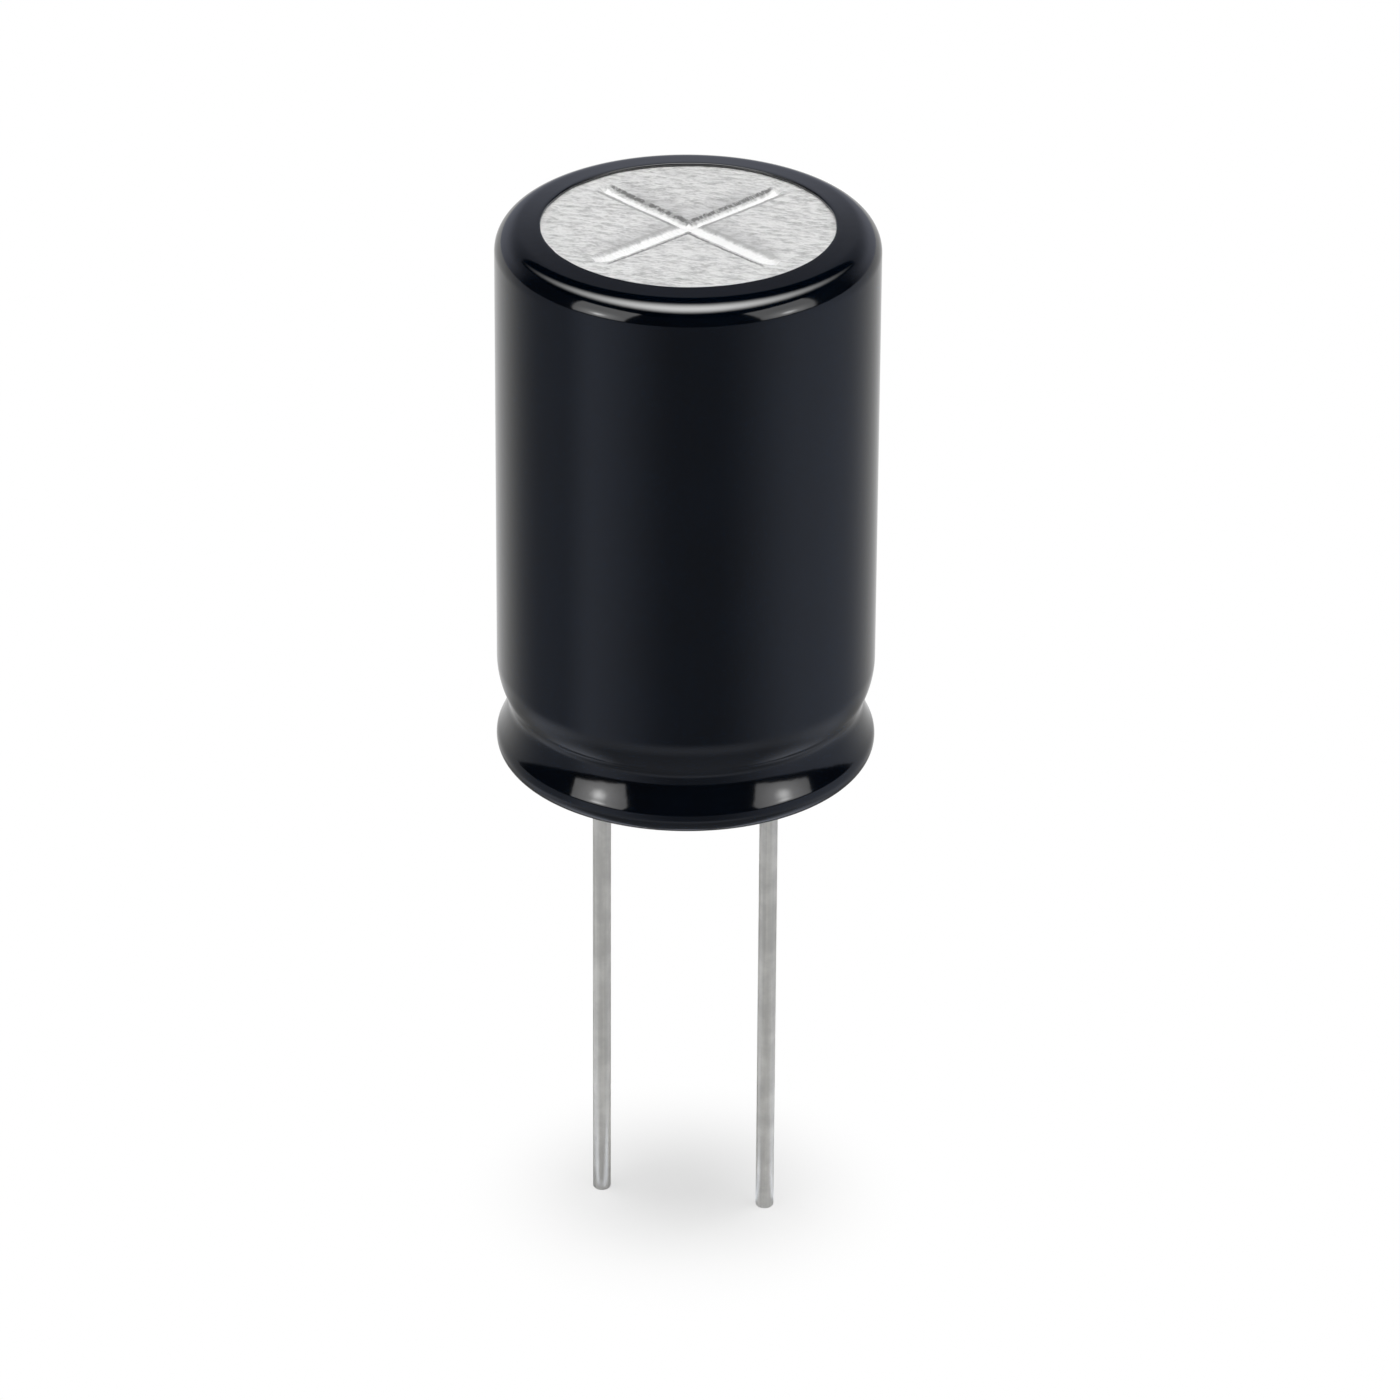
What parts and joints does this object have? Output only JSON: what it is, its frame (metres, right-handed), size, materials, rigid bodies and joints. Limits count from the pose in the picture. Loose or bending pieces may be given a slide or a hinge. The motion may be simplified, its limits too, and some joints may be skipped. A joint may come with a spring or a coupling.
{
  "type": "electrolytic capacitor",
  "caption": "Radial electrolytic capacitor: sleeved aluminium can with a crimped base and scored vent, rubber seal, wound foils inside and straight wire leads.",
  "frame": {"origin": "centre of the seat: the flat under the sleeved bead, on the can's axis, midway between the leads", "axes": "+Z along the can's axis towards the scored top, the leads along -Z at +X and -X"},
  "size_m": [0.0166, 0.0166, 0.0482],
  "materials": {
    "shrink_sleeve": "gloss navy-black shrink film",
    "can_aluminium": "drawn and stamped, fine crinkled satin",
    "seal_rubber": "matt moulded",
    "tinned_wire": "satin tin plating on copper-clad steel",
    "terminal_aluminium": "pressed",
    "etched_foil": "dull etched",
    "plain_foil": "satin",
    "separator_paper": "damp kraft paper",
    "winding_tape": "thin film tape"
  },
  "bodies": {
    "root": {"sleeve": "shrink_sleeve", "can": "can_aluminium", "rubber_seal": "seal_rubber", "lead_wire_positive": "tinned_wire", "lead_wire_negative": "tinned_wire", "terminal_positive": "terminal_aluminium", "terminal_negative": "terminal_aluminium", "anode_foil": "etched_foil", "cathode_foil": "plain_foil", "separator_inner": "separator_paper", "separator_outer": "separator_paper", "winding_tape": "winding_tape"}
  },
  "joints": []
}
